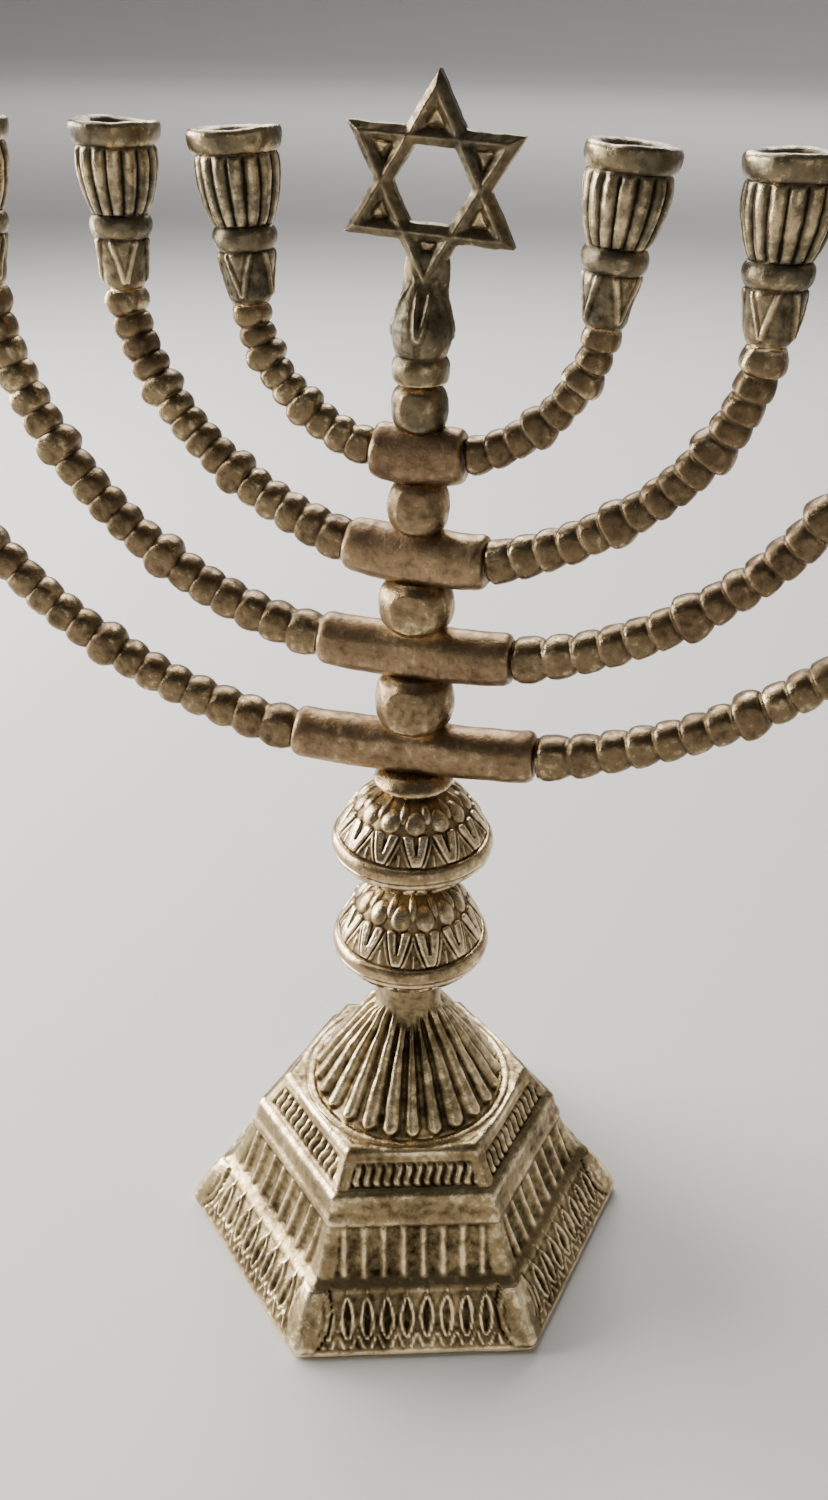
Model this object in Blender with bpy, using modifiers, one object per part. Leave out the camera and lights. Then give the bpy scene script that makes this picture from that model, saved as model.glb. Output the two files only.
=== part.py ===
"""An eight-branch brass candelabrum with a star finial, built as separate castings stacked on one tie rod."""
import math

import bmesh
import bpy
from mathutils import Euler, Matrix, Vector

MM = 0.001
NAME = "menorah"

# ---------------------------------------------------------------- driving dimensions, millimetres
GAP = 0.3
ROD_R = 2.5
BORE_R = 2.8
FOOT_TURN = 17.5  # degrees between a corner of the foot and the plane of the arms

FOOT_Z = 48.9
FOOT_OUTER = [(33.0, 48.9), (33.8, 48.4), (40.2, 39.5), (41.2, 38.9), (43.9, 31.8), (43.6, 31.0), (50.6, 17.6),
              (53.4, 15.8), (62.6, 2.6), (63.3, 1.6), (63.3, 0.0)]
FOOT_INNER = [(59.3, 0.0), (59.0, 1.8), (49.0, 15.0), (47.2, 17.0), (40.0, 30.2), (35.4, 37.4), (30.5, 40.6)]
SEAT_R = 26.6
SEAT_DEPTH = 1.0
PANEL_DEPTH = 0.8
PANELS = [((39.2, 40.3), (34.6, 47.2)), ((49.9, 18.8), (44.2, 29.7))]

CONE_PROFILE = [(7.2, 85.6), (7.7, 80.0), (8.4, 75.5), (13.4, 68.0), (19.0, 59.8), (23.6, 52.8), (26.1, 49.2)]
CONE_FLUTES = 24
CONE_BOTTOM = 48.2

KNOP_R = 20.2
KNOP_DOME = [(7.4, 1.0), (10.6, 0.88), (15.4, 0.60), (17.9, 0.34), (18.5, 0.18)]
KNOP_UNDER = [(19.0, 0.14), (14.2, 0.46), (7.4, 0.86), (7.0, 1.0)]
KNOPS = {"lower_knop": (85.9, 97.9, 117.3), "upper_knop": (117.6, 128.8, 145.2)}

COLLAR = (145.5, 150.3, 9.4)
SLEEVES = {1: (228.8, 10.4, 5.1), 2: (205.7, 16.8, 5.4), 3: (181.9, 23.3, 5.5), 4: (156.1, 30.0, 5.5)}
SLEEVE_END_R = 5.2
SLEEVE_RISE = 0.5
BALLS = {4: (161.9, 176.1, 9.8), 3: (187.7, 200.0, 8.9), 2: (211.4, 223.4, 7.1), 1: (234.2, 244.3, 6.3)}

FINIAL_BOTTOM = 244.6
STAR_Z = 283.4
STAR_R = 20.9
STAR_BAR = 4.4
STAR_THICK = 5.0
STAR_POCKET = 1.7

CUP_X = {1: 37.6, 2: 70.3, 3: 100.5, 4: 130.0}
CUP_BOTTOM = 259.1
CUP_TOP = 292.0
CUP_OUTER = [(9.0, 32.9), (9.3, 30.8), (7.7, 28.9), (7.6, 23.0), (4.9, 14.9), (6.1, 13.7), (6.1, 11.2),
             (5.1, 10.0), (4.3, 0.0)]
SOCKET_FLOOR = 20.9
SOCKET_R = (5.2, 5.8)

BEAD_R = {1: 3.9, 2: 4.4, 3: 4.6, 4: 4.7}
BIG_BEAD = 1.2  # times a small bead; the last one under the cup is 1.1 times
VALLEY = 0.84
NEAR_SLEEVE = {1: 0.12, 2: 0.18, 3: 0.20, 4: 0.20}  # how much bigger the first beads are, fading over a few beads
ARM_SPIGOT_R = 2.0
ARM_SOCKET_R = 2.3
ARM_SPIGOT = 4.0
ARM_SOCKET = 4.6
ARM_HANDLES = {1: (14.0, 12.0, 13.0), 2: (40.0, 17.0, 16.0), 3: (51.2, 10.0, 24.0), 4: (58.0, 9.5, 48.0)}
ARM_BEADS = {1: "sssBssBsB", 2: "sssssBssssBsssB", 3: "ssssssBsssssBsssssB", 4: "sssssssBsssssssBsssssssB"}

PAIR_TURN = {1: 0.0, 2: -5.5, 3: 0.0, 4: 2.5}  # degrees: two pairs are clamped a little askew on the rod

ROD_SPAN = (30.5, 252.0)
HOLE_TOP = 252.6
WASHER = (39.2, 40.2, 8.0)
NUT = (34.2, 38.9, 5.2)

BRASS = (0.50, 0.37, 0.16)
DARK_BRASS = (0.34, 0.28, 0.15)
STEEL = (0.32, 0.31, 0.29)


# ---------------------------------------------------------------- scene and small helpers
def clear_scene():
    for obj in list(bpy.data.objects):
        bpy.data.objects.remove(obj, do_unlink=True)


def make_collection(name):
    coll = bpy.data.collections.new(name)
    bpy.context.scene.collection.children.link(coll)
    return coll


clear_scene()
PARTS = make_collection(NAME)
CUTTERS = make_collection("cutters")


def material(name, colour, rough, metallic=1.0):
    mat = bpy.data.materials.new(name)
    mat.use_nodes = True
    shader = mat.node_tree.nodes["Principled BSDF"]
    shader.inputs["Base Color"].default_value = (*colour, 1.0)
    shader.inputs["Roughness"].default_value = rough
    shader.inputs["Metallic"].default_value = metallic
    mat.diffuse_color = (*colour, 1.0)
    return mat


def add_object(name, bm, coll):
    """Millimetre geometry in, an object in metres out, smooth except at its sharp edges."""
    bmesh.ops.scale(bm, vec=(MM, MM, MM), verts=bm.verts)
    mesh = bpy.data.meshes.new(name)
    bm.to_mesh(mesh)
    bm.free()
    mesh.shade_smooth()
    mesh.set_sharp_from_angle(angle=math.radians(40.0))
    obj = bpy.data.objects.new(name, mesh)
    coll.objects.link(obj)
    if coll is CUTTERS:
        obj.hide_render = True
        obj.display_type = "WIRE"
    return obj


def finish(obj, colour=BRASS, rough=0.42):
    obj.data.materials.append(material(obj.name + "_mat", colour, rough))
    return obj


def turned(name, profile, steps, coll, closed=False, turn=0.0):
    """Turns a profile, given at +X from the top down its outer side, about Z."""
    bm = bmesh.new()
    spin = Matrix.Rotation(math.radians(turn), 3, "Z")
    verts = [bm.verts.new(spin @ Vector((r, 0.0, z))) for r, z in profile]
    for a, b in zip(verts, verts[1:]):
        bm.edges.new((a, b))
    if closed:
        bm.edges.new((verts[-1], verts[0]))
    obj = add_object(name, bm, coll)
    screw = obj.modifiers.new("turn", "SCREW")
    screw.axis = "Z"
    screw.angle = math.tau
    screw.steps = steps
    screw.render_steps = steps
    screw.use_merge_vertices = True
    screw.merge_threshold = 0.00001
    screw.use_smooth_shade = steps > 6
    return obj


def bored(name, outer, steps, coll, bore=BORE_R):
    """A turned body with a straight bore down its axis."""
    return turned(name, outer + [(bore, outer[-1][1]), (bore, outer[0][1])], steps, coll, closed=True)


def cut(obj, cutter):
    mod = obj.modifiers.new("cut_" + cutter.name, "BOOLEAN")
    mod.operation = "DIFFERENCE"
    mod.solver = "EXACT"
    mod.object = cutter
    return mod


def join(obj, other):
    mod = obj.modifiers.new("join_" + other.name, "BOOLEAN")
    mod.operation = "UNION"
    mod.solver = "EXACT"
    mod.object = other
    return mod


def drill(name, radius, z_low, z_high, steps=16):
    return turned(name, [(0.0, z_high), (radius, z_high), (radius, z_low), (0.0, z_low)], steps, CUTTERS)


def skin(bm, rings):
    """Quads between rings of equal length, n-gons over the first and the last ring."""
    loops = [[bm.verts.new(p) for p in ring] for ring in rings]
    count = len(loops[0])
    for low, high in zip(loops, loops[1:]):
        for i in range(count):
            j = (i + 1) % count
            bm.faces.new((low[i], low[j], high[j], high[i]))
    bm.faces.new(list(reversed(loops[0])))
    bm.faces.new(loops[-1])
    bmesh.ops.recalc_face_normals(bm, faces=bm.faces)


def section(centre, tangent, radius_y, radius_n, sides, start=0.5):
    """A cross-section in the plane square to the tangent, for a path that lies in the XZ plane."""
    normal = Vector((-tangent.z, 0.0, tangent.x))
    side = Vector((0.0, 1.0, 0.0))
    ring = []
    for i in range(sides):
        a = math.tau * (i + start) / sides
        ring.append(centre + side * radius_y * math.cos(a) + normal * radius_n * math.sin(a))
    return ring


def smoothstep(t):
    return t * t * (3.0 - 2.0 * t)


# ---------------------------------------------------------------- foot, cone and knops
def panel_cutters(index, low, high):
    """Six shallow trays, one on each sloping face of the foot."""
    bm = bmesh.new()
    apothem = math.cos(math.radians(30.0))
    (r0, z0), (r1, z1) = low, high
    slope = Vector(((r1 - r0) * apothem, 0.0, z1 - z0)).normalized()
    out = Vector((slope.z, 0.0, -slope.x))
    for k in range(6):
        spin = Matrix.Rotation(math.radians(30.0 + 60.0 * k + FOOT_TURN), 3, "Z")
        rings = []
        for depth in (-PANEL_DEPTH, 3.0):
            ring = []
            for r, z, sign in ((r0, z0, -1), (r0, z0, 1), (r1, z1, 1), (r1, z1, -1)):
                half = r * 0.5 * 0.88
                corner = Vector((r * apothem, sign * half, z)) + out * depth
                ring.append(spin @ corner)
            rings.append(ring)
        skin(bm, rings)
    return add_object("panel_cutters_%d" % index, bm, CUTTERS)


def build_foot():
    profile = [(0.0, FOOT_Z)] + FOOT_OUTER + FOOT_INNER + [(0.0, FOOT_INNER[-1][1])]
    foot = turned("hex_base", profile, 6, PARTS, turn=FOOT_TURN)
    cut(foot, drill("foot_bore", BORE_R, 30.0, 60.0))
    cut(foot, drill("cone_seat", SEAT_R, FOOT_Z - SEAT_DEPTH, 60.0, 48))
    for i, (low, high) in enumerate(PANELS):
        cut(foot, panel_cutters(i, low, high))
    return finish(foot)


def build_cone():
    """A concave cone with round-bottomed flutes, nearly square at the neck."""
    columns = CONE_FLUTES * 2
    rings = []
    for level, (r, z) in enumerate(reversed(CONE_PROFILE)):
        depth = [0.0, 0.9, 1.1, 0.9, 0.5, 0.0, 0.0][level]
        ring = []
        for i in range(columns):
            a = math.tau * i / columns
            groove = depth if i % 2 else 0.0
            ring.append(Vector(((r - groove) * math.cos(a), (r - groove) * math.sin(a), z)))
        rings.append(ring)
    base = [Vector((p.x, p.y, CONE_BOTTOM)) for p in rings[0]]
    bm = bmesh.new()
    skin(bm, [base] + rings)
    cone = add_object("fluted_cone", bm, PARTS)
    cut(cone, drill("cone_bore", BORE_R, 40.0, 90.0))
    return finish(cone)


def build_knop(name, z_low, z_mid, z_high):
    dome = [(r, z_mid + 1.2 + f * (z_high - z_mid - 1.2)) for r, f in KNOP_DOME]
    under = [(r, z_mid - 1.6 - f * (z_mid - 1.6 - z_low)) for r, f in KNOP_UNDER]
    band = [(KNOP_R, z_mid + 0.8), (KNOP_R, z_mid - 1.4)]
    return finish(bored(name, dome + band + under, 28, PARTS))


# ---------------------------------------------------------------- the stem above the knops
def clamp_at(obj, index):
    """Turns a piece of an arm pair, with its cutters, round the rod, to where the clamped stack holds it."""
    angle = math.radians(PAIR_TURN[index])
    for mod in obj.modifiers:
        if mod.type == "BOOLEAN":
            mod.object.parent = obj
    obj.rotation_euler = (0.0, 0.0, angle)
    obj.location.rotate(Euler((0.0, 0.0, angle)))
    return obj


def barrel(z_low, z_high, radius, end_radius):
    mid = 0.5 * (z_low + z_high)
    half = 0.5 * (z_high - z_low)
    angles = [math.radians(a) for a in (90, 45, 15, -15, -45, -90)]
    return [(end_radius + (radius - end_radius) * math.cos(a), mid + half * math.sin(a)) for a in angles]


def build_collar():
    z_low, z_high, radius = COLLAR
    return finish(bored("collar_bead", barrel(z_low, z_high, radius, 7.2), 24, PARTS))


def build_ball(index):
    z_low, z_high, radius = BALLS[index]
    return finish(bored("stem_ball_%d" % index, barrel(z_low, z_high, radius, radius * 0.72), 18, PARTS))


def build_sleeve(index):
    z_mid, half, drum = SLEEVES[index]
    bm = bmesh.new()
    rings = []
    for k in range(9):
        u = -1.0 + k / 4.0
        swell = smoothstep(1.0 - abs(u))
        centre = Vector((u * half, 0.0, z_mid + SLEEVE_RISE * u * u))
        tall = min(SLEEVE_END_R + 0.2 * swell, drum - 0.05)
        rings.append(section(centre, Vector((1.0, 0.0, 0.0)), SLEEVE_END_R + 0.4 * swell, tall, 12))
    skin(bm, rings)
    sleeve = add_object("cross_sleeve_%d" % index, bm, PARTS)
    top, low = z_mid + drum, z_mid - drum
    boss = [(0.0, top), (5.6, top), (6.2, top - 1.2), (6.2, low + 1.2), (5.6, low), (0.0, low)]
    join(sleeve, turned("sleeve_boss_%d" % index, boss, 16, CUTTERS))
    cut(sleeve, drill("sleeve_bore_%d" % index, BORE_R, low - 4.0, top + 4.0))
    for sign in (-1, 1):
        bm = bmesh.new()
        end = Vector((sign * half, 0.0, z_mid + SLEEVE_RISE))
        way = Vector((float(sign), 0.0, 0.0))
        pair = [section(end + way * t, way, ARM_SOCKET_R, ARM_SOCKET_R, 8) for t in (-ARM_SOCKET, 3.0)]
        skin(bm, pair)
        cut(sleeve, add_object("sleeve_socket_%d_%s" % (index, "ab"[sign > 0]), bm, CUTTERS))
    return clamp_at(finish(sleeve), index)


# ---------------------------------------------------------------- star finial
def hexagram(radius):
    """The twelve corners of a six-pointed star that stands on one point, in the XZ plane."""
    corners = []
    for i in range(12):
        reach = radius if i % 2 == 0 else radius / math.sqrt(3.0)
        a = math.radians(90.0 + 30.0 * i)
        corners.append(Vector((reach * math.cos(a), 0.0, STAR_Z + reach * math.sin(a))))
    return corners


def prism(name, corners, y_low, y_high, coll):
    bm = bmesh.new()
    skin(bm, [[Vector((c.x, y, c.z)) for c in corners] for y in (y_low, y_high)])
    return add_object(name, bm, coll)


def inner_hexagon():
    inradius = STAR_R * 0.5 - STAR_BAR * 0.5
    reach = inradius / math.cos(math.radians(30.0))
    angles = [math.radians(60.0 * i) for i in range(6)]
    return [Vector((reach * math.cos(a), 0.0, STAR_Z + reach * math.sin(a))) for a in angles]


def pocket_cutters(name, y_low, y_high):
    """Six small triangles between the bars, one in each point of the star."""
    bm = bmesh.new()
    for i in range(6):
        a = math.radians(90.0 + 60.0 * i)
        centre = Vector((math.cos(a), 0.0, math.sin(a))) * STAR_R * 0.64
        size = STAR_R * 0.333 - STAR_BAR * 0.78
        tri = []
        for k in range(3):
            b = a + math.radians(120.0 * k)
            tri.append(centre + Vector((size * math.cos(b), 0.0, size * math.sin(b))))
        skin(bm, [[Vector((c.x, y, c.z + STAR_Z)) for c in tri] for y in (y_low, y_high)])
    return add_object(name, bm, CUTTERS)


def build_finial():
    z = FINIAL_BOTTOM
    vase = [(0.0, 267.4), (4.6, 266.4), (5.2, 262.0), (6.2, 255.5), (5.4, 250.4), (5.2, 249.9),
            (6.1, 248.9), (6.1, 246.0), (5.3, z), (0.0, z)]
    finial = turned("star_finial", vase, 16, PARTS)
    star = prism("star_plate", hexagram(STAR_R), -STAR_THICK / 2, STAR_THICK / 2, CUTTERS)
    join(finial, star)
    cut(finial, prism("star_window", inner_hexagon(), -9.0, 9.0, CUTTERS))
    cut(finial, pocket_cutters("star_pockets_front", -9.0, -STAR_THICK / 2 + STAR_POCKET))
    cut(finial, pocket_cutters("star_pockets_back", STAR_THICK / 2 - STAR_POCKET, 9.0))
    cut(finial, drill("finial_hole", BORE_R, z - 3.0, HOLE_TOP))
    return finish(finial, DARK_BRASS, 0.5)


# ---------------------------------------------------------------- arms and cups
def arm_path(index):
    """Points of a cubic curve from the sleeve's end face to the underside of the cup."""
    z_mid, half, _ = SLEEVES[index]
    first, angle, last = ARM_HANDLES[index]
    a = math.radians(angle)
    p0 = Vector((half + GAP, 0.0, z_mid + SLEEVE_RISE))
    p3 = Vector((CUP_X[index], 0.0, CUP_BOTTOM - GAP))
    p1 = p0 + Vector((math.cos(a), 0.0, math.sin(a))) * first
    p2 = p3 - Vector((0.0, 0.0, last))
    points = []
    for k in range(401):
        t = k / 400.0
        s = 1.0 - t
        points.append(p0 * s**3 + p1 * 3 * s * s * t + p2 * 3 * s * t * t + p3 * t**3)
    return points


def at_length(points, wanted):
    """Point and tangent of a polyline at a given distance along it."""
    run = 0.0
    for a, b in zip(points, points[1:]):
        step = (b - a).length
        if run + step >= wanted:
            return a.lerp(b, (wanted - run) / step), (b - a).normalized()
        run += step
    return points[-1].copy(), (points[-1] - points[-2]).normalized()


def arm_rings(index, sides=8):
    points = arm_path(index)
    total = sum((b - a).length for a, b in zip(points, points[1:]))
    beads = ARM_BEADS[index]
    small = BEAD_R[index]
    weights = [(1.25 if b == "B" else 1.0) * (1.0 + 0.35 * math.exp(-k / 2.5)) for k, b in enumerate(beads)]
    unit = total / sum(weights)
    start = points[0]
    out = Vector((1.0, 0.0, 0.0))
    rings = [section(start - out * ARM_SPIGOT, out, ARM_SPIGOT_R, ARM_SPIGOT_R, sides)]
    rings.append(section(start, out, ARM_SPIGOT_R, ARM_SPIGOT_R, sides))
    run = 0.0
    for k, (bead, weight) in enumerate(zip(beads, weights)):
        here, way = at_length(points, run)
        way = out if k == 0 else way
        swell = small * (1.0 + NEAR_SLEEVE[index] * math.exp(-k / 2.5))
        rings.append(section(here, way, swell * VALLEY, swell * VALLEY, sides))
        crest = swell * (1.0 if bead == "s" else 1.1 if k == len(beads) - 1 else BIG_BEAD)
        here, way = at_length(points, run + 0.5 * weight * unit)
        rings.append(section(here, way, crest, crest, sides))
        run += weight * unit
    end = points[-1]
    up = Vector((0.0, 0.0, 1.0))
    rings.append(section(end, up, small * VALLEY, small * VALLEY, sides))
    rings.append(section(end, up, ARM_SPIGOT_R, ARM_SPIGOT_R, sides))
    rings.append(section(end + up * ARM_SPIGOT, up, ARM_SPIGOT_R, ARM_SPIGOT_R, sides))
    return rings


def build_arm(index, side):
    sign = -1.0 if side == "left" else 1.0
    bm = bmesh.new()
    skin(bm, [[Vector((sign * p.x, p.y, p.z)) for p in ring] for ring in arm_rings(index)])
    return clamp_at(finish(add_object("arm_%s_%d" % (side, index), bm, PARTS), DARK_BRASS, 0.5), index)


def build_cup(index, side):
    sign = -1.0 if side == "left" else 1.0
    outer = [(r, CUP_BOTTOM + z) for r, z in CUP_OUTER]
    floor = CUP_BOTTOM + SOCKET_FLOOR
    hole = CUP_BOTTOM + ARM_SOCKET
    inside = [(0.0, floor), (SOCKET_R[0], floor), (SOCKET_R[1], CUP_TOP)]
    below = [(ARM_SOCKET_R, CUP_BOTTOM), (ARM_SOCKET_R, hole), (0.0, hole)]
    cup = turned("cup_%s_%d" % (side, index), inside + outer + below, 14, PARTS)
    cup.location = (sign * CUP_X[index] * MM, 0.0, 0.0)
    return clamp_at(finish(cup, DARK_BRASS, 0.5), index)


# ---------------------------------------------------------------- rod, washer and nut
def build_hardware():
    low, high = ROD_SPAN
    rod = [(0.0, high), (ROD_R, high), (ROD_R, low), (0.0, low)]
    finish(turned("tie_rod", rod, 16, PARTS), STEEL, 0.45)
    low, high, radius = WASHER
    finish(bored("washer", [(radius, high), (radius, low)], 16, PARTS), STEEL, 0.45)
    low, high, radius = NUT
    nut = turned("nut", [(0.0, high), (radius, high), (radius, low), (0.0, low)], 6, PARTS)
    cut(nut, drill("nut_bore", BORE_R, low - 3.0, high + 3.0, 16))
    finish(nut, STEEL, 0.45)


def build():
    build_foot()
    build_cone()
    for name, levels in KNOPS.items():
        build_knop(name, *levels)
    build_collar()
    for index in (4, 3, 2, 1):
        build_sleeve(index)
        build_ball(index)
    build_finial()
    for side in ("left", "right"):
        for index in (1, 2, 3, 4):
            build_arm(index, side)
            build_cup(index, side)
    build_hardware()


build()
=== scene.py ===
import math

import bpy
import numpy as np
from mathutils import Matrix, Vector


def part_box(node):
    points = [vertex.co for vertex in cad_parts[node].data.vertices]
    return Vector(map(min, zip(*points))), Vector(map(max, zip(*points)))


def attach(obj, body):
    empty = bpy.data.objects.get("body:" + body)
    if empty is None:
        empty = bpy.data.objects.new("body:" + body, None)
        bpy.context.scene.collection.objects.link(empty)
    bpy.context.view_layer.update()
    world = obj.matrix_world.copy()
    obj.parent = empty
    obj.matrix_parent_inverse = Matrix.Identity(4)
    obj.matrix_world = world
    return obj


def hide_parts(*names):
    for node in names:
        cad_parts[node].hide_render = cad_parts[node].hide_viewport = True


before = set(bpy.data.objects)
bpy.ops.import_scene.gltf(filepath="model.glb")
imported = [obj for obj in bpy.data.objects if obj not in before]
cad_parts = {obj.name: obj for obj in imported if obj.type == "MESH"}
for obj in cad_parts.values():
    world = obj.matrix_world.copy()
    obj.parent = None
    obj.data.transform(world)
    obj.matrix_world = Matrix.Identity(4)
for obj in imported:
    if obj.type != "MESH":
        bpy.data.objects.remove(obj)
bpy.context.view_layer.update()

MM = 0.001
AXIS = 0.01  # mm: where a closed outline meets its axis
BORE = 2.9  # mm: inner radius of the castings on the rod
PAIR_TURN = {1: 0.0, 2: -5.5, 3: 0.0, 4: 2.5}  # degrees: two pairs are clamped a little askew
SIDES = ("left", "right")
PAIRS = (1, 2, 3, 4)

FOOT = "foot"
TOP = "candelabrum"


# ------------------------------------------------------------------ sizes read from the frame
def span(node):
    """Lowest and highest corner of a node in millimetres, as two arrays."""
    low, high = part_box(node)
    return np.array(low) / MM, np.array(high) / MM


def levels_of(node):
    low, high = span(node)
    return float(low[2]), float(high[2])


def radius_of(node):
    low, high = span(node)
    return float(high[0] - low[0]) / 2


# ------------------------------------------------------------------ working by hand
def put_down():
    """Nothing selected, nothing in edit mode."""
    if bpy.context.object and bpy.context.object.mode != "OBJECT":
        bpy.ops.object.mode_set(mode="OBJECT")
    bpy.ops.object.select_all(action="DESELECT")


def take(piece):
    put_down()
    piece.select_set(True)
    bpy.context.view_layer.objects.active = piece


def edit(piece):
    take(piece)
    bpy.ops.object.mode_set(mode="EDIT")
    bpy.ops.mesh.select_mode(type="VERT")
    bpy.ops.mesh.select_all(action="SELECT")


def settle(piece):
    """Puts the piece's place, turn and size into its mesh."""
    take(piece)
    bpy.ops.object.transform_apply(location=True, rotation=True, scale=True)


def clean(piece, gap=0.002):
    """Merges doubles and turns every face outwards."""
    edit(piece)
    bpy.ops.mesh.remove_doubles(threshold=gap * MM)
    bpy.ops.mesh.normals_make_consistent(inside=False)
    put_down()


def apply(piece, kind, **settings):
    """Adds a modifier, sets it and applies it."""
    take(piece)
    mod = piece.modifiers.new(kind.lower(), kind)
    for key, value in settings.items():
        setattr(mod, key, value)
    bpy.ops.object.modifier_apply(modifier=mod.name)


def smooth(piece, angle=180.0):
    take(piece)
    if angle >= 180.0:
        bpy.ops.object.shade_smooth()
    else:
        bpy.ops.object.shade_smooth_by_angle(angle=math.radians(angle))
    put_down()


def combine(pieces, name):
    """Joins pieces into the first one."""
    put_down()
    for piece in pieces:
        piece.select_set(True)
    bpy.context.view_layer.objects.active = pieces[0]
    bpy.ops.object.join()
    pieces[0].name = name
    return pieces[0]


def twin(piece, name):
    """A copy with its own mesh."""
    other = piece.copy()
    other.data = piece.data.copy()
    other.name = name
    bpy.context.collection.objects.link(other)
    return other


def points_of(piece):
    """The piece's points in millimetres."""
    flat = np.empty(len(piece.data.vertices) * 3)
    piece.data.vertices.foreach_get("co", flat)
    return flat.reshape(-1, 3) / MM


def move_points(piece, points):
    piece.data.vertices.foreach_set("co", (points * MM).ravel())
    piece.data.update()


# ------------------------------------------------------------------ outlines
def flowing(knots, step=0.6):
    """A smooth line through the knots, in mm; a knot given twice stays a corner."""
    runs, run = [], [knots[0]]
    for knot in knots[1:]:
        if knot == run[-1]:
            runs.append(run)
            run = [knot]
        else:
            run.append(knot)
    runs.append(run)
    line = []
    for run in runs:
        if len(run) == 1:
            continue
        p = np.array([run[0]] + list(run) + [run[-1]], dtype=float)
        for a, b, c, d in zip(p, p[1:], p[2:], p[3:]):
            reach = float(np.linalg.norm(c - b))
            leave = (c - a) * reach / max(float(np.linalg.norm(c - a)), 1e-9)
            arrive = (d - b) * reach / max(float(np.linalg.norm(d - b)), 1e-9)
            count = max(1, round(reach / step))
            for k in range(count):
                t = k / count
                line.append((1 - 3 * t**2 + 2 * t**3) * b + (t - 2 * t**2 + t**3) * leave
                            + (3 * t**2 - 2 * t**3) * c + (t**3 - t**2) * arrive)
    line.append(np.array(knots[-1], dtype=float))
    return [(float(x), float(z)) for x, z in line]


def drawn(name, outline):
    """A line of extruded points in the XZ plane, started from a plane melted to one point."""
    put_down()
    x, z = outline[0]
    bpy.ops.mesh.primitive_plane_add(size=MM, location=(x * MM, 0, z * MM))
    piece = bpy.context.object
    piece.name = name
    settle(piece)
    edit(piece)
    bpy.ops.mesh.merge(type="CENTER")
    for (x0, z0), (x1, z1) in zip(outline, outline[1:]):
        step = ((x1 - x0) * MM, 0, (z1 - z0) * MM)
        bpy.ops.mesh.extrude_vertices_move(TRANSFORM_OT_translate={"value": step})
    return piece


def turned(name, outline, steps, axis=(0, 0, 1)):
    """Spins a drawn outline round the stem's axis, or round the X axis."""
    piece = drawn(name, outline)
    bpy.ops.mesh.select_all(action="SELECT")
    bpy.ops.mesh.spin(steps=steps, angle=math.tau, center=(0, 0, 0), axis=axis)
    clean(piece)
    return piece


def climb(outline, unit=MM):
    """Extrudes the selected ring from level to level, along an outline of radii and heights."""
    for (r0, z0), (r1, z1) in zip(outline, outline[1:]):
        bpy.ops.mesh.extrude_edges_move(TRANSFORM_OT_translate={"value": (0, 0, (z1 - z0) * unit)})
        bpy.ops.transform.resize(value=(r1 / r0, r1 / r0, 1), center_override=(0, 0, z1 * unit))


def stacked(name, corners, cuts, outline, turn):
    """A hollow body with straight sides, made level by level from a ring of corners."""
    put_down()
    radius, level = outline[0]
    bpy.ops.mesh.primitive_circle_add(vertices=corners, radius=radius * MM, location=(0, 0, level * MM))
    piece = bpy.context.object
    piece.name = name
    settle(piece)
    edit(piece)
    bpy.ops.mesh.subdivide(number_cuts=cuts)
    climb(outline)
    put_down()
    piece.rotation_euler = (0, 0, math.radians(turn - 30.0))
    settle(piece)
    clean(piece)
    return piece


# ------------------------------------------------------------------ relief and hand work
def values_of(piece, name):
    """One stored value for each point."""
    values = np.empty(len(piece.data.vertices))
    piece.data.attributes[name].data.foreach_get("value", values)
    return values


def store_values(piece, name, values):
    made = piece.data.attributes.get(name) or piece.data.attributes.new(name, "FLOAT", "POINT")
    made.data.foreach_set("value", values)


def relief(piece, height, depth):
    """Raises a cast pattern square to the surface; height gives 0 to 1 for points in mm."""
    x, y, z = points_of(piece).T
    weight = np.clip(height(x, y, z), 0.0, 1.0)
    group = piece.vertex_groups.new(name="relief")
    for i, w in enumerate(weight.tolist()):
        if w > 0.001:
            group.add([i], w, "REPLACE")
    apply(piece, "DISPLACE", strength=depth * MM, mid_level=0.0, vertex_group="relief")
    piece.vertex_groups.clear()
    store_values(piece, "cast", weight)


def flattened(y, limit, give):
    """Presses in the front and the back past a limit; give is the share of the rise that stays."""
    over = np.maximum(np.abs(y) - limit, 0.0)
    return np.sign(y) * (np.minimum(np.abs(y), limit) + give * over)


def cast_unevenness(piece, amount, grain):
    """Low, soft dents of hand-finished castings; amount and grain in mm."""
    clouds = bpy.data.textures.new(piece.name + "_dents", "CLOUDS")
    clouds.noise_scale = grain * MM
    clouds.noise_depth = 2
    apply(piece, "DISPLACE", strength=amount * MM, mid_level=0.5, texture=clouds, texture_coords="LOCAL")


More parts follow.
